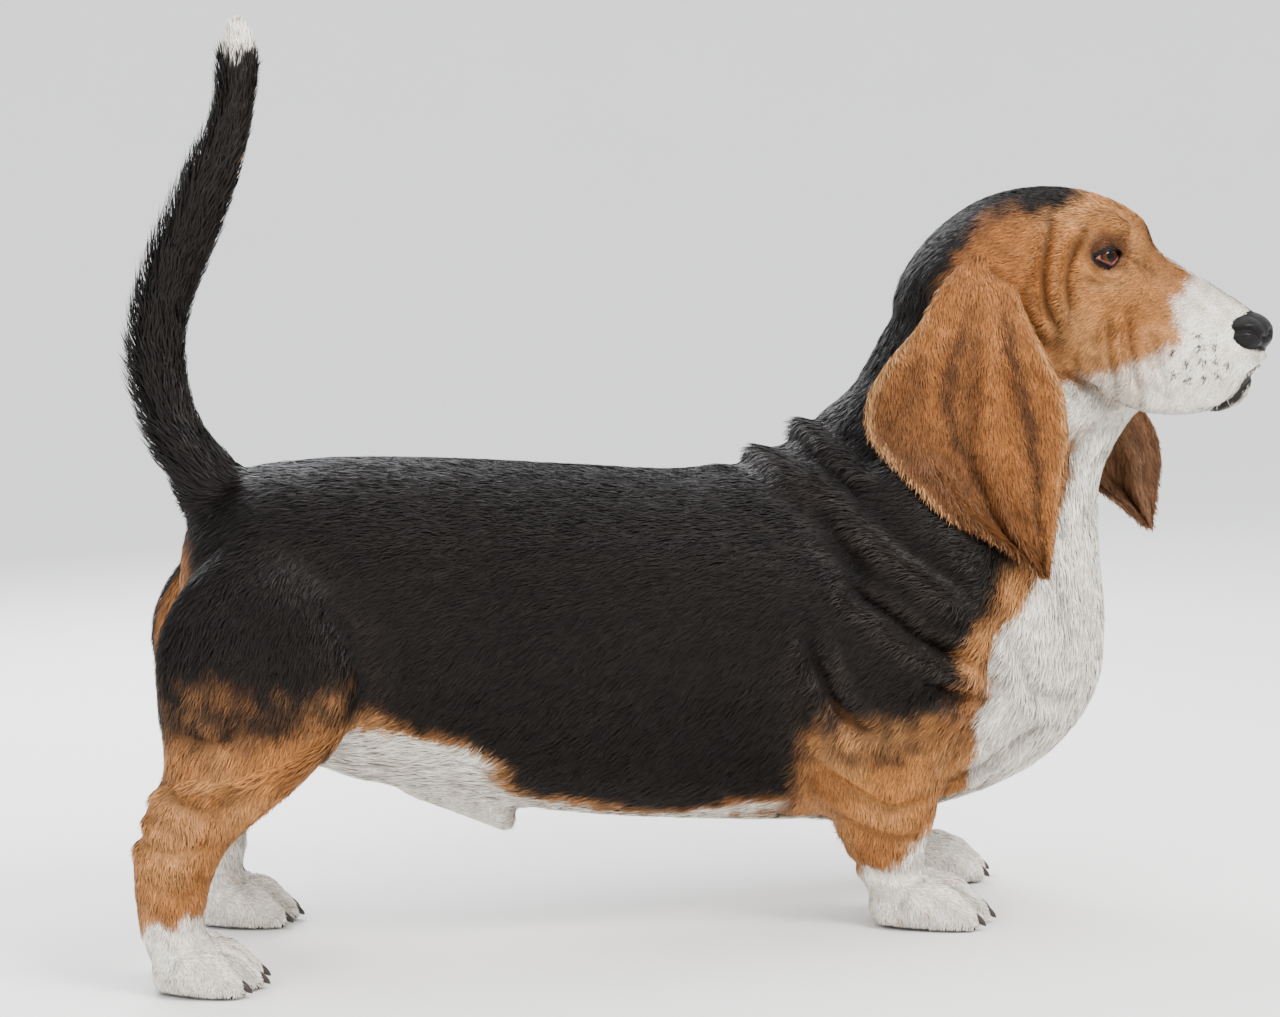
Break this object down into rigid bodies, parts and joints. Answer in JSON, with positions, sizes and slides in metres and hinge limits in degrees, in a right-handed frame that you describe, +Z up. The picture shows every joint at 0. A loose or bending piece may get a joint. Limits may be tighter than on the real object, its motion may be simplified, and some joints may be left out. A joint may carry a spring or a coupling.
{
  "type": "basset hound model",
  "caption": "Life-size standing basset hound, tail up and head level: long low body, hanging ears, loose folded skin, tricolour coat.",
  "frame": {"origin": "centre of the animal's bounding box, on the floor under its paws", "axes": "+X towards its nose, +Y towards its left, +Z up"},
  "size_m": [0.8479, 0.2934, 0.6661],
  "materials": {
    "black_coat": "short smooth coat, black",
    "tan_coat": "short smooth coat, tan",
    "white_coat": "short smooth coat, white",
    "nose_leather": "moist pebbled skin",
    "eye": "polished, dark brown"
  },
  "bodies": {
    "root": {"head": "tan_coat", "neck": "tan_coat", "torso": "black_coat", "tail": "black_coat", "nose": "nose_leather", "eye_right": "eye", "eye_left": "eye", "ear_right": "tan_coat", "ear_left": "tan_coat", "foreleg_upper_right": "white_coat", "foreleg_lower_right": "white_coat", "forepaw_right": "white_coat", "hindleg_upper_right": "white_coat", "hindleg_lower_right": "white_coat", "hindpaw_right": "white_coat", "foreleg_upper_left": "white_coat", "foreleg_lower_left": "white_coat", "forepaw_left": "white_coat", "hindleg_upper_left": "white_coat", "hindleg_lower_left": "white_coat", "hindpaw_left": "white_coat"}
  },
  "joints": []
}
